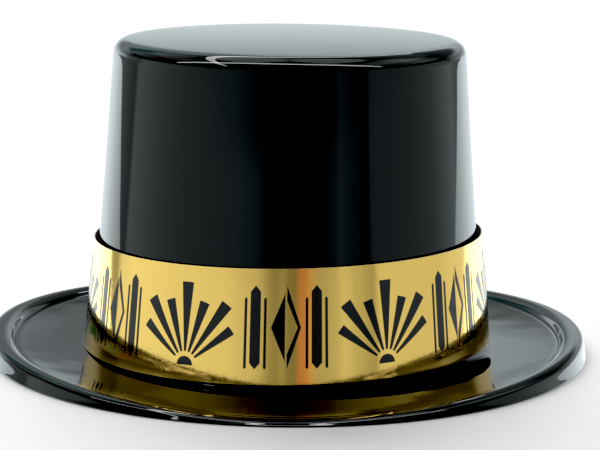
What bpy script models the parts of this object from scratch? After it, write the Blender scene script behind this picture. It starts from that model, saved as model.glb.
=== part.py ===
# New year party top hat: a vacuum-formed plastic shell, a loose foil-faced card
# band around the crown, and the tape pad that holds the band's overlapped ends.
# Metres, +Z up. The front of the hat faces -Y, and the trimmed brim edge stands on Z = 0.
import math

import bmesh
import bpy

# Driving dimensions
BRIM_HALF_WIDTH = 0.1294
CROWN_TOP_HEIGHT = 0.1342
CROWN_TOP_HALF_WIDTH = 0.0757
CROWN_FOOT_HALF_WIDTH = 0.0847
CROWN_EXTRA_DEPTH = 0.0088      # half-depth less half-width of every ring of the crown
BRIM_EXTRA_DEPTH = 0.0209       # the same at the brim edge, which is a longer oval
WALL = 0.0006

# Crown
CORNER_RADIUS = 0.006
FOOT_FILLET = 0.005
FOOT_HEIGHT = 0.0011

# Brim. Each height is given at the front and back, and at the sides, which curl up.
PLATEAU_EDGE = 0.1172           # half-width where the flat of the brim ends
PLATEAU_FRONT, PLATEAU_SIDE = 0.0008, 0.0052
FLAT_RISE = 0.4                 # share of the side's rise that is reached halfway across the flat
STEP_TOP = 0.1195
STEP_FRONT, STEP_SIDE = 0.0013, 0.0078
CREST = 0.1242
CREST_FRONT, CREST_SIDE = 0.0020, 0.0092
ROLL_FRONT, ROLL_SIDE = 0.0002, 0.00045     # drop of the rounded crest halfway to its two edges
SHOULDER = 0.1283
SHOULDER_FRONT, SHOULDER_SIDE = 0.0014, 0.0076
EDGE_BAND = 0.0007              # height of the upright lip above the trimmed edge
CURL_SHARPNESS = 1.6            # power of the cosine that lifts the sides

# Band
BAND_BOTTOM, BAND_TOP = 0.0040, 0.0503
BAND_BOTTOM_HALF_WIDTH, BAND_TOP_HALF_WIDTH = 0.0880, 0.0836
BAND_SLOPE = 0.0225             # the loose band sits higher on the +X side
CARD = 0.00045
OVERLAP_ANGLE = math.radians(14.0)
RAMP_ANGLE = math.radians(16.0)  # where the outer end climbs over the inner end
TAPE = 0.0003
TAPE_GAP = 0.0003
TAPE_INSET = 0.003              # card left bare around the tape pad

RING_SEGMENTS = 72
ARC_STEPS = 5
WALL_STEPS = 3
BACK = math.radians(90.0)
SHARP_ANGLE = math.radians(40.0)    # edges that turn more than this are shaded sharp


def clear_scene():
    for old in list(bpy.data.objects):
        bpy.data.objects.remove(old, do_unlink=True)


def parts_collection():
    collection = bpy.data.collections.new("party_top_hat")
    bpy.context.scene.collection.children.link(collection)
    return collection


def material(name, colour, roughness, metallic):
    made = bpy.data.materials.new(name)
    made.use_nodes = True
    shader = made.node_tree.nodes["Principled BSDF"]
    shader.inputs["Base Color"].default_value = (*colour, 1.0)
    shader.inputs["Roughness"].default_value = roughness
    shader.inputs["Metallic"].default_value = metallic
    return made


def add_object(name, bm, finish, collection):
    bmesh.ops.recalc_face_normals(bm, faces=bm.faces)
    mesh = bpy.data.meshes.new(name)
    bm.to_mesh(mesh)
    bm.free()
    mesh.shade_smooth()
    mesh.set_sharp_from_angle(angle=SHARP_ANGLE)
    mesh.materials.append(finish)
    made = bpy.data.objects.new(name, mesh)
    collection.objects.link(made)
    return made


def add_thickness(target, thickness, offset):
    solidify = target.modifiers.new("thickness", "SOLIDIFY")
    solidify.thickness = thickness
    solidify.offset = offset
    solidify.use_even_offset = True
    return solidify


def arc(centre, radius, start, end, steps):
    """Points (half-width, height) on an arc, start and end included."""
    points = []
    for step in range(steps + 1):
        angle = start + (end - start) * step / steps
        points.append((centre[0] + radius * math.cos(angle), centre[1] + radius * math.sin(angle)))
    return points


def crown_stations():
    """The crown's section from its top corner down to the foot fillet's end."""
    lean = math.atan2(CROWN_FOOT_HALF_WIDTH - CROWN_TOP_HALF_WIDTH, CROWN_TOP_HEIGHT)
    corner_centre = (CROWN_TOP_HALF_WIDTH - CORNER_RADIUS, CROWN_TOP_HEIGHT - CORNER_RADIUS)
    points = arc(corner_centre, CORNER_RADIUS, math.radians(90.0), lean, ARC_STEPS)
    fillet_centre = (CROWN_FOOT_HALF_WIDTH + FOOT_FILLET, FOOT_HEIGHT + FOOT_FILLET)
    fillet = arc(fillet_centre, FOOT_FILLET, math.radians(180.0) + lean, math.radians(270.0), ARC_STEPS)
    top, bottom = points[-1], fillet[0]
    for step in range(1, WALL_STEPS):
        share = step / WALL_STEPS
        points.append(tuple(a + (b - a) * share for a, b in zip(top, bottom)))
    points += fillet
    return [(half, height, height, CROWN_EXTRA_DEPTH) for half, height in points]


def brim_stations():
    """The brim's section from the flat out over the rolled bead to the trimmed edge."""
    foot = CROWN_FOOT_HALF_WIDTH + FOOT_FILLET
    middle = (foot + PLATEAU_EDGE) / 2
    section = [
        (middle, (FOOT_HEIGHT + PLATEAU_FRONT) / 2, FOOT_HEIGHT + (PLATEAU_SIDE - FOOT_HEIGHT) * FLAT_RISE),
        (PLATEAU_EDGE, PLATEAU_FRONT, PLATEAU_SIDE),
        (STEP_TOP, STEP_FRONT, STEP_SIDE),
        ((STEP_TOP + CREST) / 2, CREST_FRONT - ROLL_FRONT, CREST_SIDE - ROLL_SIDE),
        (CREST, CREST_FRONT, CREST_SIDE),
        ((CREST + SHOULDER) / 2, CREST_FRONT - ROLL_FRONT, CREST_SIDE - ROLL_SIDE),
        (SHOULDER, SHOULDER_FRONT, SHOULDER_SIDE),
        (BRIM_HALF_WIDTH, EDGE_BAND, EDGE_BAND),
        (BRIM_HALF_WIDTH, 0.0, 0.0),
    ]
    stations = []
    for half, front, side in section:
        spread = min(1.0, (half - foot) / (PLATEAU_EDGE - foot))
        depth = CROWN_EXTRA_DEPTH + (BRIM_EXTRA_DEPTH - CROWN_EXTRA_DEPTH) * spread
        stations.append((half, front, side, depth))
    return stations


def place_ring(verts, angle_layer, station):
    half, front, side, depth = station
    for vert in verts:
        angle = vert[angle_layer]
        lift = abs(math.cos(angle)) ** CURL_SHARPNESS
        vert.co = (half * math.cos(angle), (half + depth) * math.sin(angle), front + (side - front) * lift)


def hat_shell(finish, collection):
    """One ring is extruded through every station, from the flat top to the trimmed edge."""
    bm = bmesh.new()
    angle_layer = bm.verts.layers.float.new("angle")
    stations = crown_stations() + brim_stations()
    ring = bmesh.ops.create_circle(bm, cap_ends=True, segments=RING_SEGMENTS, radius=1.0)["verts"]
    for vert in ring:
        vert[angle_layer] = math.atan2(vert.co.y, vert.co.x)
    place_ring(ring, angle_layer, stations[0])
    edges = [edge for edge in bm.edges if edge.is_boundary]
    for station in stations[1:]:
        grown = bmesh.ops.extrude_edge_only(bm, edges=edges)["geom"]
        edges = [part for part in grown if isinstance(part, bmesh.types.BMEdge)]
        place_ring([part for part in grown if isinstance(part, bmesh.types.BMVert)], angle_layer, station)
    shell = add_object("hat_shell", bm, finish, collection)
    add_thickness(shell, WALL, -1.0)
    return shell


def strip(name, start, end, columns, bottom, top, offset, finish, collection, thickness):
    """A strip wrapped round the crown from angle start to end. offset(angle) moves it outwards."""
    bm = bmesh.new()
    bmesh.ops.create_grid(bm, x_segments=columns, y_segments=1, size=0.5)
    for vert in bm.verts:
        angle = start + (end - start) * (vert.co.x + 0.5)
        height = bottom + (top - bottom) * (vert.co.y + 0.5)
        share = (height - BAND_BOTTOM) / (BAND_TOP - BAND_BOTTOM)
        half = BAND_BOTTOM_HALF_WIDTH + (BAND_TOP_HALF_WIDTH - BAND_BOTTOM_HALF_WIDTH) * share
        half += offset(angle)
        x = half * math.cos(angle)
        vert.co = (x, (half + CROWN_EXTRA_DEPTH) * math.sin(angle), height + BAND_SLOPE * x)
    made = add_object(name, bm, finish, collection)
    add_thickness(made, thickness, 0.0)
    return made


def layer_step():
    """How far the outer end of the band stands off the inner end."""
    return CARD + TAPE + 2 * TAPE_GAP


def band_offset(angle):
    """Nothing along the strip, rising to one layer step where it passes over its own start."""
    ramp_start = BACK + 2 * math.pi - OVERLAP_ANGLE / 2 - RAMP_ANGLE
    share = min(1.0, max(0.0, (angle - ramp_start) / RAMP_ANGLE))
    return layer_step() * share * share * (3.0 - 2.0 * share)


def foil_band(finish, collection):
    """The strip runs from its inner end at the back once round and over itself."""
    start = BACK - OVERLAP_ANGLE / 2
    end = BACK + 2 * math.pi + OVERLAP_ANGLE / 2
    columns = round(RING_SEGMENTS * (end - start) / (2 * math.pi))
    return strip("foil_band", start, end, columns, BAND_BOTTOM, BAND_TOP, band_offset,
                 finish, collection, CARD)


def overlap_tape(finish, collection):
    """The pad of double-sided tape between the band's two layers."""
    inset_angle = TAPE_INSET / (BAND_TOP_HALF_WIDTH + CROWN_EXTRA_DEPTH)
    start = BACK - OVERLAP_ANGLE / 2 + inset_angle
    end = BACK + OVERLAP_ANGLE / 2 - inset_angle
    return strip("overlap_tape", start, end, 2, BAND_BOTTOM + TAPE_INSET, BAND_TOP - TAPE_INSET,
                 lambda angle: layer_step() / 2, finish, collection, TAPE)


def main():
    clear_scene()
    collection = parts_collection()
    hat_shell(material("black_gloss_plastic", (0.008, 0.008, 0.009), 0.08, 0.0), collection)
    foil_band(material("gold_foil_card", (0.83, 0.60, 0.20), 0.18, 1.0), collection)
    overlap_tape(material("clear_tape", (0.75, 0.73, 0.66), 0.35, 0.0), collection)


main()
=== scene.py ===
import math

import bpy
import numpy as np
from mathutils import Matrix, Vector


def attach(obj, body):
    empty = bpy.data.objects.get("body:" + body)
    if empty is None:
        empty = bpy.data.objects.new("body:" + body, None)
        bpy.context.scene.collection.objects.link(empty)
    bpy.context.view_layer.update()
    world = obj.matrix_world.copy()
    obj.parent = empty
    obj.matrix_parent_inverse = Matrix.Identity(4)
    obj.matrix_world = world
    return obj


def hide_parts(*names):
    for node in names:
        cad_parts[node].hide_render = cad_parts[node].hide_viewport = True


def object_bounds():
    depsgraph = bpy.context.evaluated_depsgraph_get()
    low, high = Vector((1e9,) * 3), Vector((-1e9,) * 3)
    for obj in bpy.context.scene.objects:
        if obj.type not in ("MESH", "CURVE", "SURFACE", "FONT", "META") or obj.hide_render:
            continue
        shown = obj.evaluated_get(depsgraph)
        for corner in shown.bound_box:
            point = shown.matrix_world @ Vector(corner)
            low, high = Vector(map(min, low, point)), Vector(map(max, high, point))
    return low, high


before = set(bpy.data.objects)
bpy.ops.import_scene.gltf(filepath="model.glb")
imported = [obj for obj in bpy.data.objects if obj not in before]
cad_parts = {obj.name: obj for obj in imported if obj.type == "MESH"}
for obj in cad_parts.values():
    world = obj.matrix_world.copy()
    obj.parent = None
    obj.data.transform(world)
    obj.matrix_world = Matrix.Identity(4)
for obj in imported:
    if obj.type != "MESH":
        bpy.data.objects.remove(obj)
cadLow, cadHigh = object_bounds()
bpy.ops.object.select_all(action="DESELECT")
print("frame loaded", [round(v, 4) for v in cadHigh])


# small helpers shared by the pieces

def evenSteps(start, end, count):
    return [start + (end - start) * step / count for step in range(count + 1)]


def onlySelect(piece):
    bpy.ops.object.select_all(action="DESELECT")
    piece.select_set(True)
    bpy.context.view_layer.objects.active = piece


def addModifier(piece, kind, **values):
    modifier = piece.modifiers.new(kind.lower(), kind)
    for key, value in values.items():
        setattr(modifier, key, value)


def applyModifiers(piece):
    onlySelect(piece)
    for modifier in list(piece.modifiers):
        bpy.ops.object.modifier_apply(modifier=modifier.name)


def weightGroup(piece, name, weightAt):
    group = piece.vertex_groups.new(name=name)
    for vertex in piece.data.vertices:
        group.add([vertex.index], max(0.0, min(1.0, weightAt(vertex))), "REPLACE")


def newMaterial(name):
    made = bpy.data.materials.new(name)
    made.use_nodes = True
    tree = made.node_tree
    return made, tree, tree.nodes["Principled BSDF"]


def addNode(tree, kind, **values):
    node = tree.nodes.new(kind)
    for key, value in values.items():
        setattr(node, key, value)
    return node


def objectNoise(tree, facts):
    coords = addNode(tree, "ShaderNodeTexCoord")
    mapping = addNode(tree, "ShaderNodeMapping")
    mapping.inputs["Scale"].default_value = facts.get("stretch", (1.0, 1.0, 1.0))
    noise = addNode(tree, "ShaderNodeTexNoise")
    noise.inputs["Scale"].default_value = facts["scale"]
    noise.inputs["Detail"].default_value = facts["detail"]
    tree.links.new(coords.outputs["Object"], mapping.inputs["Vector"])
    tree.links.new(mapping.outputs["Vector"], noise.inputs["Vector"])
    return noise.outputs["Fac"]


def setTint(tree, shader, noise, first, second):
    tint = addNode(tree, "ShaderNodeMix", data_type="RGBA")
    tint.inputs["A"].default_value = first + (1.0,)
    tint.inputs["B"].default_value = second + (1.0,)
    tree.links.new(noise, tint.inputs["Factor"])
    tree.links.new(tint.outputs["Result"], shader.inputs["Base Color"])


def setRoughness(tree, shader, noise, low, high):
    # nearly all of a noise lies between 0.3 and 0.7
    spread = addNode(tree, "ShaderNodeMapRange")
    spread.inputs["From Min"].default_value = 0.3
    spread.inputs["From Max"].default_value = 0.7
    spread.inputs["To Min"].default_value = low
    spread.inputs["To Max"].default_value = high
    tree.links.new(noise, spread.inputs["Value"])
    tree.links.new(spread.outputs["Result"], shader.inputs["Roughness"])


def addBump(tree, shader, noise, strength, distance):
    bump = addNode(tree, "ShaderNodeBump")
    bump.inputs["Strength"].default_value = strength
    bump.inputs["Distance"].default_value = distance
    tree.links.new(noise, bump.inputs["Height"])
    tree.links.new(bump.outputs["Normal"], shader.inputs["Normal"])


# camera: a long lens in front of the hat and a little above it

view = {
    "target": (0.0051, 0.0, 0.0528),
    "distance": 1.0918,
    "tiltDown": 0.1633,         # radians, as is the roll
    "roll": 0.0116,
    "lens": 151.2,
    "sensor": 36.0,
    "nearest": 0.05,
}


def addCamera():
    tilt = view["tiltDown"]
    data = bpy.data.cameras.new("viewCamera")
    data.lens = view["lens"]
    data.sensor_width = view["sensor"]
    data.clip_start = view["nearest"]
    camera = bpy.data.objects.new("viewCamera", data)
    bpy.context.scene.collection.objects.link(camera)
    back = Vector((0.0, -math.cos(tilt), math.sin(tilt))) * view["distance"]
    turn = Matrix.Rotation(math.radians(90.0) - tilt, 4, "X") @ Matrix.Rotation(view["roll"], 4, "Z")
    camera.matrix_world = Matrix.Translation(Vector(view["target"]) + back) @ turn
    bpy.context.scene.camera = camera


addCamera()
print("camera placed")


# the hat shell: one oval ring extruded from the top of the crown to the trimmed edge

shell = {
    "segments": 96,
    "wall": 0.0006,
    "extraDepth": 0.0088,       # ovals of the crown are this much longer from centre to front
    "topHalf": 0.0757,
    "footHalf": 0.0847,
    "cornerRadius": 0.0060,
    "cornerSteps": 8,
    "topRings": 6,
    "dome": 0.0006,
    "wallRings": 18,
    "filletRadius": 0.0050,
    "filletSteps": 6,
    "footHeight": 0.0011,
    "plateauRings": 10,
    "plateauSlope": 0.45,       # of the brim at the crown, as a share of its mean slope
    "dish": 0.0003,             # the front of the brim dips before it meets the bead
    "dishPower": 2.2,           # a higher power moves the dip outwards
    "curlPower": 1.6,
    "groovePower": 12.0,
    "smoothAngle": math.radians(50.0),
}

# ripples: how wide and how high the waves are, and where they fade out
wallWaves = {"size": 0.045, "height": 0.00016, "margin": 0.012, "fade": 0.02}
brimWaves = {
    "size": 0.012,
    "height": 0.00012,
    "below": 0.008,             # only the brim is lower than this
    "inner": 0.70,              # the flat starts and ends at these shares of the way out
    "innerFade": 0.05,
    "outer": 0.915,
    "outerFade": 0.03,
}

# half-width, height at the front, height at the sides, extra height where the groove is deep
rimSection = [
    (0.11760, 0.00108, 0.00535, 0.00010),
    (0.11785, 0.00111, 0.00545, -0.00060),
    (0.11830, 0.00116, 0.00570, -0.00100),
    (0.11890, 0.00122, 0.00610, -0.00020),
    (0.11935, 0.00129, 0.00650, 0.00110),
    (0.11975, 0.00138, 0.00690, 0.00125),
    (0.12060, 0.00155, 0.00765, 0.00085),
    (0.12220, 0.00182, 0.00860, 0.00030),
    (0.12400, 0.00198, 0.00915, 0.0),
    (0.12560, 0.00198, 0.00920, 0.0),
    (0.12680, 0.00184, 0.00890, 0.0),
    (0.12765, 0.00162, 0.00835, 0.0),
    (0.12822, 0.00138, 0.00755, 0.0),
    (0.12852, 0.00116, 0.00630, 0.0),
    (0.12878, 0.00092, 0.00420, 0.0),
    (0.12903, 0.00072, 0.00230, 0.0),
    (0.12924, 0.00054, 0.00105, 0.0),
    (0.12940, 0.00034, 0.00045, 0.0),
    (0.12940, 0.0, 0.0, 0.0),
]


# a station is a half-width, the extra depth, the height at the front, the height at the sides
# and the groove; the crown's stations are level all round
def crownRing(half, z, spread=1.0):
    return (half, shell["extraDepth"] * spread, z, z, 0.0)


def crownArc(half, z, radius, start, end, steps):
    return [crownRing(half + radius * math.cos(angle), z + radius * math.sin(angle))
            for angle in evenSteps(start, end, steps)]


def crownWall(top, foot):
    stations = []
    for share in evenSteps(0.0, 1.0, shell["wallRings"])[1:-1]:
        stations.append(crownRing(top[0] + (foot[0] - top[0]) * share, top[2] + (foot[2] - top[2]) * share))
    return stations


def shellStations():
    lean = math.atan2(shell["footHalf"] - shell["topHalf"], cadHigh.z)
    flatHalf = shell["topHalf"] - shell["cornerRadius"]
    cornerZ = cadHigh.z - shell["dome"] - shell["cornerRadius"]
    footEnd = shell["footHalf"] + shell["filletRadius"]
    filletZ = shell["footHeight"] + shell["filletRadius"]
    flat = [crownRing(flatHalf * share, cadHigh.z - shell["dome"] * share ** 2, share)
            for share in evenSteps(0.0, 1.0, shell["topRings"])[1:]]
    corner = crownArc(flatHalf, cornerZ, shell["cornerRadius"],
                      math.radians(90.0), lean, shell["cornerSteps"])[1:]
    fillet = crownArc(footEnd, filletZ, shell["filletRadius"],
                      math.radians(180.0) + lean, math.radians(270.0), shell["filletSteps"])
    return flat + corner + crownWall(corner[-1], fillet[0]) + fillet + brimStations(footEnd)


def brimStations(footEnd):
    edgeDepth = cadHigh.y - cadHigh.x
    firstFront, firstSide = rimSection[0][1], rimSection[0][2]
    stations = []
    for share in evenSteps(0.0, 1.0, shell["plateauRings"])[1:-1]:
        rise = share * (shell["plateauSlope"] + (1.0 - shell["plateauSlope"]) * share)
        front = shell["footHeight"] + (firstFront - shell["footHeight"]) * rise
        front -= shell["dish"] * math.sin(math.pi * share ** shell["dishPower"])
        side = shell["footHeight"] + (firstSide - shell["footHeight"]) * rise
        half = footEnd + (rimSection[0][0] - footEnd) * share
        depth = shell["extraDepth"] + (edgeDepth - shell["extraDepth"]) * share
        stations.append((half, depth, front, side, 0.0))
    for half, front, side, groove in rimSection:
        stations.append((half, edgeDepth, front, side, groove))
    return stations


def extrudeRings(name, stations, segments):
    # the rings are level here: the brim is curled afterwards
    half, depth, z = stations[0][:3]
    bpy.ops.mesh.primitive_circle_add(vertices=segments, radius=1.0, fill_type="NGON", location=(0, 0, 0))
    piece = bpy.context.object
    piece.name = name
    piece.data.name = name
    bpy.ops.object.mode_set(mode="EDIT")
    bpy.ops.mesh.select_mode(type="EDGE")
    bpy.ops.mesh.select_all(action="SELECT")
    bpy.ops.transform.resize(value=(half, half + depth, 1.0), center_override=(0, 0, 0))
    bpy.ops.transform.translate(value=(0, 0, z))
    bpy.ops.mesh.region_to_loop()
    lastHalf, lastDeep, lastZ = half, half + depth, z
    for station in stations[1:]:
        half, depth, z = station[:3]
        deep = half + depth
        bpy.ops.mesh.extrude_edges_move(TRANSFORM_OT_translate={"value": (0, 0, z - lastZ)})
        bpy.ops.transform.resize(value=(half / lastHalf, deep / lastDeep, 1.0), center_override=(0, 0, z))
        lastHalf, lastDeep, lastZ = half, deep, z
    bpy.ops.mesh.select_all(action="SELECT")
    bpy.ops.mesh.normals_make_consistent(inside=False)
    bpy.ops.object.mode_set(mode="OBJECT")
    return piece


def curlBrim(piece, stations):
    # the sides curl up, and a groove under the bead is deepest at the sides
    segments = shell["segments"]
    lifts = [station[3] - station[2] for station in stations]
    grooves = [station[4] for station in stations]

    def cosine(vertex):
        half, depth = stations[vertex.index // segments][:2]
        return abs(vertex.co.x / half) / math.hypot(vertex.co.x / half, vertex.co.y / (half + depth))

    def curlWeight(vertex):
        return lifts[vertex.index // segments] / max(lifts) * cosine(vertex) ** shell["curlPower"]

    def grooveWeight(sign, limit):
        def weight(vertex):
            return sign * grooves[vertex.index // segments] / limit * cosine(vertex) ** shell["groovePower"]
        return weight

    weightGroup(piece, "curl", curlWeight)
    weightGroup(piece, "raise", grooveWeight(1.0, max(grooves)))
    weightGroup(piece, "sink", grooveWeight(-1.0, -min(grooves)))
    for group, strength in (("curl", max(lifts)), ("raise", max(grooves)), ("sink", min(grooves))):
        addModifier(piece, "DISPLACE", direction="Z", mid_level=0.0, strength=strength, vertex_group=group)
    applyModifiers(piece)
    piece.vertex_groups.clear()


def ripple(piece, name, waves, weightAt):
    # thin formed sheet is never quite true, so its reflections waver a little
    texture = bpy.data.textures.new(name, "CLOUDS")
    texture.noise_scale = waves["size"]
    texture.noise_depth = 0
    weightGroup(piece, name, weightAt)
    addModifier(piece, "DISPLACE", direction="NORMAL", mid_level=0.5, strength=waves["height"],
                vertex_group=name, texture=texture, texture_coords="LOCAL")
    applyModifiers(piece)
    piece.vertex_groups.clear()


def wallWeight(vertex):
    low, high = wallWaves["margin"], cadHigh.z - wallWaves["margin"]
    return min((vertex.co.z - low) / wallWaves["fade"], (high - vertex.co.z) / wallWaves["fade"], 1.0)


def brimWeight(vertex):
    # only the flat of the brim: nothing at the crown's foot and nothing at the bead
    if vertex.co.z >= brimWaves["below"]:
        return 0.0
    out = math.hypot(vertex.co.x / cadHigh.x, vertex.co.y / cadHigh.y)
    return min((out - brimWaves["inner"]) / brimWaves["innerFade"],
               (brimWaves["outer"] - out) / brimWaves["outerFade"], 1.0)


def makeShell():
    stations = shellStations()
    piece = extrudeRings("hatShell", stations, shell["segments"])
    curlBrim(piece, stations)
    addModifier(piece, "SUBSURF", levels=1, render_levels=1)
    applyModifiers(piece)
    ripple(piece, "wallRipple", wallWaves, wallWeight)
    ripple(piece, "brimRipple", brimWaves, brimWeight)
    addModifier(piece, "SOLIDIFY", thickness=shell["wall"], offset=-1.0, use_even_offset=True)
    applyModifiers(piece)
    onlySelect(piece)
    bpy.ops.object.shade_smooth_by_angle(angle=shell["smoothAngle"])
    return piece


hatShell = makeShell()
print("shell", len(hatShell.data.polygons), "faces")


# the foil band: a flat strip wrapped round the crown, its ends lapped at the back

band = {
    "bottom": 0.0040,
    "top": 0.0503,
    "bottomHalf": 0.0880,
    "topHalf": 0.0836,
    "slope": 0.0225,            # it sits higher on the right
    "card": 0.00045,
    "layerStep": 0.00135,       # the outer end stands off the inner end by this much
    "overlap": math.radians(14.0),
    "ramp": math.radians(16.0),
    "columns": 380,
    "rows": 10,
    "lengthSteps": 1441,        # points at which the length of the strip is measured
    "smoothAngle": math.radians(40.0),
}

# waves along the strip: how many round the crown, height, phase
bandWaves = [(23, 0.000022, 0.4), (41, 0.000010, 1.9), (67, 0.000005, 3.1)]

bandBack = math.radians(90.0)
bandStart = bandBack - band["overlap"] / 2
bandEnd = bandBack + 2 * math.pi + band["overlap"] / 2


def bandPoint(angle, height, lift):
    share = (height - band["bottom"]) / (band["top"] - band["bottom"])
    half = band["bottomHalf"] + (band["topHalf"] - band["bottomHalf"]) * share + lift
    rampStart = bandEnd - band["overlap"] - band["ramp"]
    climb = min(1.0, max(0.0, (angle - rampStart) / band["ramp"]))
    half += band["layerStep"] * climb * climb * (3.0 - 2.0 * climb)
    for count, size, phase in bandWaves:
        half += size * math.sin(count * angle + phase)
    x = half * math.cos(angle)
    return Vector((x, (half + shell["extraDepth"]) * math.sin(angle), height + band["slope"] * x))


def bandLengths():
    middle = (band["bottom"] + band["top"]) / 2
    angles = np.linspace(bandStart, bandEnd, band["lengthSteps"])
    points = np.array([bandPoint(angle, middle, 0.0) for angle in angles])
    steps = np.linalg.norm(np.diff(points, axis=0), axis=1)
    return angles, np.concatenate([[0.0], np.cumsum(steps)])


stripAngles, stripLengths = bandLengths()
stripLength = float(stripLengths[-1])


def wrapRound(piece, lift):
    # flat x runs along the strip and flat y up it
    for vertex in piece.data.vertices:
        angle = float(np.interp(vertex.co.x, stripLengths, stripAngles))
        vertex.co = bandPoint(angle, band["bottom"] + vertex.co.y, lift)


def makeBand():
    width = band["top"] - band["bottom"]
    bpy.ops.mesh.primitive_grid_add(x_subdivisions=band["columns"], y_subdivisions=band["rows"], size=1.0,
                                    location=(0, 0, 0))
    piece = bpy.context.object
    piece.name = "foilBand"
    piece.data.name = "foilBand"
    bpy.ops.object.mode_set(mode="EDIT")
    bpy.ops.mesh.select_all(action="SELECT")
    bpy.ops.transform.translate(value=(0.5, 0.5, 0))
    bpy.ops.transform.resize(value=(stripLength, width, 1.0), center_override=(0, 0, 0))
    bpy.ops.object.mode_set(mode="OBJECT")
    wrapRound(piece, 0.0)
    addModifier(piece, "SOLIDIFY", thickness=band["card"], offset=0.0, use_even_offset=True,
                material_offset=1, material_offset_rim=2)
    applyModifiers(piece)
    onlySelect(piece)
    bpy.ops.object.mode_set(mode="EDIT")
    bpy.ops.mesh.select_all(action="SELECT")
    bpy.ops.mesh.normals_make_consistent(inside=False)
    bpy.ops.object.mode_set(mode="OBJECT")
    bpy.ops.object.shade_smooth_by_angle(angle=band["smoothAngle"])
    return piece


foilBand = makeBand()
print("band", len(foilBand.data.polygons), "faces, strip", round(stripLength, 4), "long")


# the printed frieze: sunbursts, bars and lozenges in thick and thin strokes

frieze = {
    "low": 0.0062,
    "tall": 0.0335,
    "pitch": 0.0840,
    "repeats": 6,
    "rays": 7,
    "rayStep": math.radians(17.5),
    "rayHalf": math.radians(4.6),
    "rayLoss": 0.035,           # each ray is this share shorter than the one inside it
    "shortRay": 0.84,           # and every second one is shorter still
    "hub": 0.0036,
    "rayStart": 1.55,           # where the rays start, in radii of the hub
    "hubSteps": 16,             # straight pieces in the hub's arc and a ray's two ends
    "tipSteps": 6,
    "rootSteps": 3,
    "thin": 0.0011,
    "thick": 0.0042,
    "gap": 0.0013,
    "barPlace": 0.0252,         # from the middle of a sunburst to its first bar
    "barPoint": 0.6,            # length of a bar's point, in widths of the bar
    "thinBar": 0.86,            # height of a thin bar as a share of the thick one's
    "lozengeHalf": 0.0060,
    "lozengeStroke": 1.2,       # width of the lozenge's outline, in thin strokes
    "ink": 0.00005,
    "lift": 0.00001,            # between the foil and the ink
    "cut": 0.0030,              # the artwork is cut this often so that it follows the curve
    "smoothAngle": math.radians(30.0),
}


def arcPoints(radius, start, end, count):
    # angles are measured from straight up, clockwise
    return [(radius * math.sin(angle), radius * math.cos(angle)) for angle in evenSteps(start, end, count)]


def sunburst():
    shapes = [arcPoints(frieze["hub"], math.radians(-90), math.radians(90), frieze["hubSteps"])]
    middle = (frieze["rays"] - 1) / 2
    root = frieze["hub"] * frieze["rayStart"]
    for step in range(frieze["rays"]):
        turn = frieze["rayStep"] * (step - middle)
        reach = frieze["tall"] * (1.0 - frieze["rayLoss"] * abs(step - middle))
        if step % 2 == 0:
            reach *= frieze["shortRay"]
        left, right = turn - frieze["rayHalf"], turn + frieze["rayHalf"]
        shapes.append(arcPoints(reach, left, right, frieze["tipSteps"])
                      + arcPoints(root, right, left, frieze["rootSteps"]))
    return shapes


def bars():
    shapes = []
    left = frieze["barPlace"]
    for width in (frieze["thin"], frieze["thick"], frieze["thin"]):
        tall = frieze["tall"] * (1.0 if width == frieze["thick"] else frieze["thinBar"])
        point = width * frieze["barPoint"]
        shapes.append([(left, point), (left + width / 2, 0.0), (left + width, point),
                       (left + width, tall - point), (left + width / 2, tall), (left, tall - point)])
        left += width + frieze["gap"]
    return shapes


def lozenge():
    half, tall, thin = frieze["lozengeHalf"], frieze["tall"], frieze["thin"]
    place = frieze["pitch"] / 2
    inset = thin * tall / half / 2
    solid = [(place - thin / 3, inset), (place - thin / 3, tall - inset), (place - half, tall / 2)]
    stroke = thin * frieze["lozengeStroke"]
    outline = [(place + thin / 3, 0.0), (place + half, tall / 2), (place + thin / 3, tall),
               (place + thin / 3, tall - 2 * inset), (place + half - stroke, tall / 2),
               (place + thin / 3, 2 * inset)]
    return [solid, outline]


def mirrored(shapes):
    return shapes + [[(-x, y) for x, y in shape] for shape in shapes]


def flatModule():
    curve = bpy.data.curves.new("friezeModule", "CURVE")
    curve.dimensions = "2D"
    curve.fill_mode = "BOTH"
    for shape in sunburst() + mirrored(bars()) + lozenge():
        spline = curve.splines.new("POLY")
        spline.points.add(len(shape) - 1)
        for point, (x, y) in zip(spline.points, shape):
            point.co = (x, y, 0.0, 1.0)
        spline.use_cyclic_u = True
    module = bpy.data.objects.new("friezeModule", curve)
    bpy.context.scene.collection.objects.link(module)
    onlySelect(module)
    bpy.ops.object.convert(target="MESH")
    return bpy.context.object


def faceOutwards(piece):
    # turns the faces that look at the crown's axis
    onlySelect(piece)
    for polygon in piece.data.polygons:
        middle = polygon.center
        polygon.select = polygon.normal.x * middle.x + polygon.normal.y * middle.y < 0
    bpy.ops.object.mode_set(mode="EDIT")
    bpy.ops.mesh.select_mode(type="FACE")
    bpy.ops.mesh.flip_normals()
    bpy.ops.object.mode_set(mode="OBJECT")


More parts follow.
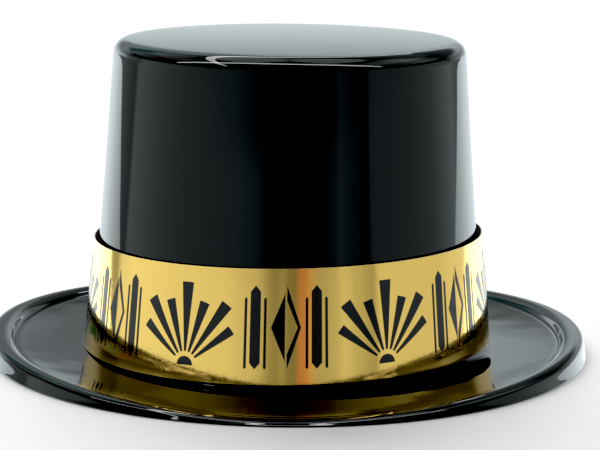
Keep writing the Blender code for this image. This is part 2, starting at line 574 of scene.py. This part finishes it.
def makeFrieze():
    module = flatModule()
    frontPlace = float(np.interp(math.radians(270.0), stripAngles, stripLengths))
    first = frontPlace - frieze["pitch"] * (frieze["repeats"] - 1) / 2
    copies = []
    for repeat in range(frieze["repeats"]):
        copy = bpy.data.objects.new("friezeCopy", module.data.copy())
        bpy.context.scene.collection.objects.link(copy)
        copy.data.transform(Matrix.Translation((first + frieze["pitch"] * repeat, frieze["low"], 0.0)))
        copies.append(copy)
    bpy.data.objects.remove(module)
    onlySelect(copies[0])
    for copy in copies:
        copy.select_set(True)
    bpy.ops.object.join()
    piece = bpy.context.object
    piece.name = "bandFrieze"
    piece.data.name = "bandFrieze"
    bpy.ops.object.mode_set(mode="EDIT")
    for step in range(1, int(stripLength / frieze["cut"])):
        bpy.ops.mesh.select_all(action="SELECT")
        bpy.ops.mesh.bisect(plane_co=(step * frieze["cut"], 0, 0), plane_no=(1, 0, 0))
    bpy.ops.object.mode_set(mode="OBJECT")
    wrapRound(piece, band["card"] / 2 + frieze["lift"])
    faceOutwards(piece)
    addModifier(piece, "SOLIDIFY", thickness=frieze["ink"], offset=1.0)
    applyModifiers(piece)
    onlySelect(piece)
    bpy.ops.object.shade_smooth_by_angle(angle=frieze["smoothAngle"])
    return piece


bandFrieze = makeFrieze()
print("frieze", len(bandFrieze.data.polygons), "faces")


# finishes: each has a noise at the scale of its grain, and some a broader one for colour

plastic = {
    "grain": {"scale": 260.0, "detail": 3.0},
    "broad": {"scale": 14.0, "detail": 2.0},
    "dark": (0.0015, 0.0017, 0.0019),
    "light": (0.0028, 0.0032, 0.0034),
    "roughness": (0.012, 0.028),
    "bump": (0.02, 0.0001),
    "ior": 1.45,
}
foil = {
    "grain": {"scale": 900.0, "detail": 2.0, "stretch": (1.0, 1.0, 0.6)},
    "broad": {"scale": 22.0, "detail": 3.0, "stretch": (1.0, 1.0, 0.08)},
    "dark": (1.0, 0.645, 0.175),
    "light": (1.0, 0.675, 0.195),
    "roughness": (0.06, 0.11),
    "bump": (0.09, 0.0001),
}
cardStock = {
    "grain": {"scale": 700.0, "detail": 4.0},
    "back": (0.78, 0.77, 0.74),
    "backRoughness": 0.7,
    "edge": (0.86, 0.83, 0.74),
    "edgeRoughness": 0.65,
    "darkShare": 0.9,
    "bump": (0.15, 0.0002),
}
ink = {
    "grain": {"scale": 500.0, "detail": 3.0},
    "dark": (0.006, 0.006, 0.007),
    "light": (0.014, 0.014, 0.015),
    "roughness": (0.12, 0.2),
    "ior": 1.5,
}
tape = {
    "grain": {"scale": 400.0, "detail": 3.0},
    "dark": (0.62, 0.60, 0.52),
    "light": (0.74, 0.72, 0.65),
    "roughness": 0.35,
    "bump": (0.1, 0.0001),
}


def plasticFinish():
    made, tree, shader = newMaterial("blackGlossPlastic")
    shader.inputs["IOR"].default_value = plastic["ior"]
    grain = objectNoise(tree, plastic["grain"])
    setTint(tree, shader, objectNoise(tree, plastic["broad"]), plastic["dark"], plastic["light"])
    setRoughness(tree, shader, grain, *plastic["roughness"])
    addBump(tree, shader, grain, *plastic["bump"])
    return made


def foilFinish():
    made, tree, shader = newMaterial("goldFoil")
    shader.inputs["Metallic"].default_value = 1.0
    grain = objectNoise(tree, foil["grain"])
    setTint(tree, shader, objectNoise(tree, foil["broad"]), foil["dark"], foil["light"])
    setRoughness(tree, shader, grain, *foil["roughness"])
    addBump(tree, shader, grain, *foil["bump"])
    return made


def cardFinish(name, colour, roughness):
    made, tree, shader = newMaterial(name)
    shader.inputs["Roughness"].default_value = roughness
    grain = objectNoise(tree, cardStock["grain"])
    dark = tuple(cardStock["darkShare"] * part for part in colour)
    setTint(tree, shader, grain, dark, colour)
    addBump(tree, shader, grain, *cardStock["bump"])
    return made


def inkFinish():
    made, tree, shader = newMaterial("blackInk")
    shader.inputs["IOR"].default_value = ink["ior"]
    grain = objectNoise(tree, ink["grain"])
    setTint(tree, shader, grain, ink["dark"], ink["light"])
    setRoughness(tree, shader, grain, *ink["roughness"])
    return made


def tapeFinish():
    made, tree, shader = newMaterial("clearTape")
    shader.inputs["Roughness"].default_value = tape["roughness"]
    grain = objectNoise(tree, tape["grain"])
    setTint(tree, shader, grain, tape["dark"], tape["light"])
    addBump(tree, shader, grain, *tape["bump"])
    return made


def setMaterials(piece, *finishes):
    piece.data.materials.clear()
    for finish in finishes:
        piece.data.materials.append(finish)


def setBandMaterials(piece, outer, inner, edge):
    # outer face, inner face and cut edges are told apart by where their normals point
    setMaterials(piece, outer, inner, edge)
    for polygon in piece.data.polygons:
        centre = polygon.center
        outward = Vector((centre.x, centre.y, 0.0)).normalized()
        facing = polygon.normal.dot(outward)
        polygon.material_index = 0 if facing > 0.5 else 1 if facing < -0.5 else 2


setMaterials(hatShell, plasticFinish())
cardBack = cardFinish("cardBack", cardStock["back"], cardStock["backRoughness"])
cardEdge = cardFinish("cardEdge", cardStock["edge"], cardStock["edgeRoughness"])
setBandMaterials(foilBand, foilFinish(), cardBack, cardEdge)
setMaterials(bandFrieze, inkFinish())
setMaterials(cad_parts["overlap_tape"], tapeFinish())
print("finishes set")


# pieces to the frame

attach(hatShell, "hat")
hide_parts("hat_shell")
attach(foilBand, "band")
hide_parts("foil_band")
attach(bandFrieze, "band")


# floor, studio and lights

studio = {
    "floorSize": 12.0,
    "floorGap": 0.0002,
    "floorColour": (0.80, 0.80, 0.80),
    "floorRoughness": 0.9,
    "floorGloss": 0.1,
    "backdrop": 1.05,                   # white behind the hat, as the camera sees it
    "ambient": 0.67,                    # even light on everything that isn't a mirror
    "sunPower": 3.9,
    "sunAngle": math.radians(55.0),
    "sunTilt": math.radians(58.0),      # from straight overhead, towards the back
    "sunTurn": math.radians(8.0),
    "brightest": 3.0,                   # the ramps below hold levels as a share of this
    "tint": (0.90, 1.0, 1.02),
    "blackLevel": 0.019,
    "topStrip": {"location": (-0.25, 0.14, 0.65), "size": (2.00, 0.045), "power": 2.2},
    "frontStrip": {"location": (-0.04, -0.27, 0.50), "size": (1.90, 0.05), "power": 3.6},
}

# what the plastic and the foil mirror: brightness of the room by bearing in degrees from the
# front, right positive. Level is behind the table, near is the table close to the hat,
# and high, overhead and ceiling follow above the level.
roomLevel = [
    (-180, 1.30), (-163, 1.35), (-152, 1.80), (-147, 0.60), (-141, 0.42), (-120, 0.38), (-117, 0.92),
    (-104, 1.00), (-90, 0.96), (-70, 0.88), (-50, 0.84), (-30, 0.78), (0, 0.72), (57, 0.74), (105, 0.72),
    (114, 0.82), (128, 0.82), (136, 0.45), (146, 0.38), (150, 1.95), (163, 1.35), (180, 1.30),
]
roomTable = [
    (-180, 1.30), (-163, 1.40), (-150, 2.05), (-140, 2.20), (-126, 2.10), (-108, 1.90), (-92, 0.90),
    (-50, 0.80), (-30, 0.76), (0, 0.72), (57, 0.74), (92, 0.80), (106, 1.80), (122, 2.10), (138, 2.20),
    (150, 2.00), (163, 1.40), (180, 1.30),
]
roomNear = [
    (-180, 2.3), (-100, 2.3), (-80, 1.1), (-60, 0.35), (0, 0.2), (60, 0.35), (80, 1.1), (100, 2.3),
    (180, 2.3),
]
roomHigh = [
    (-180, 1.0), (-165, 1.1), (-150, 1.8), (-140, 1.6), (-132, 0.6), (-118, 0.5), (-112, 1.0), (-90, 1.0),
    (-60, 0.8), (-30, 0.6), (0, 0.5), (60, 0.7), (110, 0.7), (130, 0.4), (140, 0.8), (155, 1.0), (180, 1.0),
]
roomOverhead = [
    (-180, 0.5), (-171, 1.0), (-163, 1.5), (-157, (0.70, 1.00, 0.90)), (-152, (0.22, 0.56, 0.52)),
    (-146, (0.26, 0.56, 0.54)), (-140, 1.1), (-132, (1.20, 1.05, 0.90)), (-123, (0.64, 1.04, 1.00)),
    (-112, (0.95, 0.50, 0.50)), (-100, 0.6), (-60, 0.6), (-25, 0.2), (0, 0.1), (25, 0.2), (60, 0.7),
    (95, 1.2), (106, 1.8), (113, 1.6), (122, 1.0), (130, 0.35), (158, 0.35), (168, 0.5), (180, 0.5),
]
roomCeiling = [
    (-180, 0.8), (-165, 1.6), (-50, 1.6), (-28, 0.3), (0, 0.1), (28, 0.3), (50, 1.6), (165, 1.6), (180, 0.8),
]
# dark curtains and the gaps between them in front, as a share of the level
frontSlots = [
    (-34, 1.0), (-20, 0.85), (-15, 0.72), (-11, 0.48), (-7, 0.42), (-3, 0.54), (1, 0.37), (6, 0.34),
    (8.8, (0.74, 0.38, 0.36)), (12.0, (0.76, 0.40, 0.34)), (13.8, (0.88, 0.60, 0.46)), (18, 0.66),
    (24, 0.70), (31, 0.80), (35, 0.97), (38, 0.90), (43, 0.78), (47, 0.74), (50, 0.64), (53.5, 0.55),
    (56.5, 0.96), (60, 1.0),
]
# share of the brightness by height, as the sine of the elevation: behind the hat on the left and
# on the right, at both sides, and overhead
leftHeights = [(0.0, 1.0), (0.06, 0.96), (0.09, 0.84), (0.12, 0.66), (0.14, 0.52), (0.175, 0.38),
               (0.24, 0.40), (0.29, 0.45), (1.0, 0.45)]
rightHeights = [(0.0, 1.0), (0.06, 0.96), (0.09, 0.84), (0.12, 0.66), (0.14, 0.60), (0.165, 0.80),
                (0.22, 0.92), (0.26, 0.85), (0.285, 0.50), (0.34, 0.15), (1.0, 0.15)]
sideHeights = [(0.0, 1.0), (0.12, 1.0), (0.20, 0.38), (0.28, 0.18), (1.0, 0.15)]
overheadHeights = [(0.0, 0.5), (0.55, 0.5), (0.60, 1.0), (0.76, 0.8), (0.84, 0.2), (1.0, 0.05)]
# the white table ends at a straight edge on each side, which the crown shows as a slanting line
tableEdge = {"across": 0.204, "back": 0.098, "soft": 0.004}
# where one part of the room gives way to the next, as a share of the way up, right or back
roomSteps = {
    "nearTable": (-0.22, -0.15),
    "high": (-0.012, 0.030),
    "overhead": (0.315, 0.345),
    "ceiling": (0.86, 0.90),
    "leftRight": (-0.05, 0.05),
    "frontSides": (-0.85, -0.60),
    "sidesBack": (0.55, 0.80),
}


def addFloor():
    bpy.ops.mesh.primitive_plane_add(size=studio["floorSize"], location=(0, 0, -studio["floorGap"]))
    floor = bpy.context.object
    floor.name = "tableTop"
    made, tree, shader = newMaterial("tablePaper")
    shader.inputs["Base Color"].default_value = studio["floorColour"] + (1.0,)
    shader.inputs["Roughness"].default_value = studio["floorRoughness"]
    shader.inputs["Specular IOR Level"].default_value = studio["floorGloss"]
    setMaterials(floor, made)
    floor.visible_glossy = False


def addStrip(name, facts):
    data = bpy.data.lights.new(name, "AREA")
    data.shape = "RECTANGLE"
    data.size, data.size_y = facts["size"]
    data.energy = facts["power"]
    lamp = bpy.data.objects.new(name, data)
    bpy.context.scene.collection.objects.link(lamp)
    lamp.location = facts["location"]
    aim = Vector((0.0, 0.0, cadHigh.z)) - Vector(facts["location"])
    lamp.rotation_euler = aim.to_track_quat("-Z", "Y").to_euler()
    lamp.visible_camera = False
    lamp.visible_diffuse = False


def addSun():
    data = bpy.data.lights.new("softSun", "SUN")
    data.energy = studio["sunPower"]
    data.angle = studio["sunAngle"]
    lamp = bpy.data.objects.new("softSun", data)
    bpy.context.scene.collection.objects.link(lamp)
    lamp.rotation_euler = (-studio["sunTilt"], 0.0, studio["sunTurn"])
    lamp.visible_glossy = False


def feed(tree, value, socket):
    # a value is a fixed number or colour, or another node's output
    if isinstance(value, bpy.types.NodeSocket):
        tree.links.new(value, socket)
    else:
        socket.default_value = value


def asColour(level):
    return level if isinstance(level, tuple) else (level, level, level)


def addRamp(tree, source, stops):
    # a stop is a place and a level or a colour, and the ramp runs from the first to the last
    low, high = stops[0][0], stops[-1][0]
    spread = addNode(tree, "ShaderNodeMapRange")
    spread.inputs["From Min"].default_value = low
    spread.inputs["From Max"].default_value = high
    tree.links.new(source, spread.inputs["Value"])
    ramp = addNode(tree, "ShaderNodeValToRGB")
    elements = ramp.color_ramp.elements
    elements.remove(elements[-1])
    for number, (place, level) in enumerate(stops):
        position = (place - low) / (high - low)
        element = elements.new(position) if number else elements[0]
        element.position = position
        element.color = asColour(level) + (1.0,)
    tree.links.new(spread.outputs["Result"], ramp.inputs["Fac"])
    return ramp.outputs["Color"]


def roomRamp(tree, bearing, stops):
    # levels take the room's tint, and are held as shares of the brightest
    scaled = []
    for place, level in stops:
        colour = [part * share / studio["brightest"] for part, share in zip(asColour(level), studio["tint"])]
        scaled.append((place, tuple(colour)))
    return addRamp(tree, bearing, scaled)


def mixColours(tree, factor, first, second, blend="MIX"):
    mix = addNode(tree, "ShaderNodeMix", data_type="RGBA", blend_type=blend)
    feed(tree, factor, mix.inputs["Factor"])
    feed(tree, first, mix.inputs["A"])
    feed(tree, second, mix.inputs["B"])
    return mix.outputs["Result"]


def multiply(tree, first, second):
    return mixColours(tree, 1.0, first, second, "MULTIPLY")


def addStep(tree, source, low, high):
    # 0 below low and 1 above high
    spread = addNode(tree, "ShaderNodeMapRange", interpolation_type="SMOOTHSTEP")
    spread.inputs["From Min"].default_value = low
    spread.inputs["From Max"].default_value = high
    tree.links.new(source, spread.inputs["Value"])
    return spread.outputs["Result"]


def addMath(tree, operation, *values):
    node = addNode(tree, "ShaderNodeMath", operation=operation)
    for socket, value in zip(node.inputs, values):
        feed(tree, value, socket)
    return node.outputs["Value"]


def heightOverEdge(tree, x, y, z):
    across = addMath(tree, "MULTIPLY", addMath(tree, "ABSOLUTE", x), tableEdge["across"])
    back = addMath(tree, "MULTIPLY", y, tableEdge["back"])
    return addMath(tree, "SUBTRACT", addMath(tree, "ADD", z, across), back)


def roomColour(tree):
    coords = addNode(tree, "ShaderNodeTexCoord")
    split = addNode(tree, "ShaderNodeSeparateXYZ")
    tree.links.new(coords.outputs["Generated"], split.inputs["Vector"])
    x, y, z = (split.outputs[axis] for axis in "XYZ")
    bearing = addMath(tree, "DEGREES", addMath(tree, "ARCTAN2", x, addMath(tree, "MULTIPLY", y, -1.0)))
    level, table, near, high, overhead, ceiling = (
        roomRamp(tree, bearing, stops) for stops in
        (roomLevel, roomTable, roomNear, roomHigh, roomOverhead, roomCeiling))

    # from the table up, with the curtains in front
    around = mixColours(tree, addStep(tree, z, *roomSteps["nearTable"]), near, table)
    overEdge = addStep(tree, heightOverEdge(tree, x, y, z), -tableEdge["soft"], tableEdge["soft"])
    around = mixColours(tree, overEdge, around, level)
    around = mixColours(tree, addStep(tree, z, *roomSteps["high"]), around, high)
    around = multiply(tree, around, addRamp(tree, bearing, frontSlots))

    # darker with height, in a way of its own behind the hat and at its sides
    back = mixColours(tree, addStep(tree, x, *roomSteps["leftRight"]), addRamp(tree, z, leftHeights),
                      addRamp(tree, z, rightHeights))
    sides = mixColours(tree, addStep(tree, y, *roomSteps["frontSides"]), (1.0, 1.0, 1.0, 1.0),
                       addRamp(tree, z, sideHeights))
    around = multiply(tree, around, mixColours(tree, addStep(tree, y, *roomSteps["sidesBack"]), sides, back))

    overhead = multiply(tree, overhead, addRamp(tree, z, overheadHeights))
    overhead = mixColours(tree, addStep(tree, z, *roomSteps["ceiling"]), overhead, ceiling)
    return mixColours(tree, addStep(tree, z, *roomSteps["overhead"]), around, overhead)


def addBackground(tree, colour, strength):
    background = addNode(tree, "ShaderNodeBackground")
    feed(tree, colour, background.inputs["Color"])
    background.inputs["Strength"].default_value = strength
    return background.outputs["Background"]


def addWorld():
    world = bpy.data.worlds.new("studioRoom")
    bpy.context.scene.world = world
    world.use_nodes = True
    tree = world.node_tree
    tree.nodes.clear()
    white = (1.0, 1.0, 1.0, 1.0)
    room = addBackground(tree, roomColour(tree), studio["brightest"])
    ambient = addBackground(tree, white, studio["ambient"])
    backdrop = addBackground(tree, white, studio["backdrop"])
    path = addNode(tree, "ShaderNodeLightPath")
    last = room
    for ray, source in (("Is Diffuse Ray", ambient), ("Is Camera Ray", backdrop)):
        mix = addNode(tree, "ShaderNodeMixShader")
        tree.links.new(path.outputs[ray], mix.inputs["Fac"])
        tree.links.new(last, mix.inputs[1])
        tree.links.new(source, mix.inputs[2])
        last = mix.outputs["Shader"]
    output = addNode(tree, "ShaderNodeOutputWorld")
    tree.links.new(last, output.inputs["Surface"])


def setContrast():
    settings = bpy.context.scene.view_settings
    settings.view_transform = "Standard"
    settings.use_curve_mapping = True
    settings.curve_mapping.black_level = (studio["blackLevel"],) * 3
    settings.curve_mapping.update()


addFloor()
addWorld()
addSun()
addStrip("topStrip", studio["topStrip"])
addStrip("frontStrip", studio["frontStrip"])
setContrast()
print("studio ready")
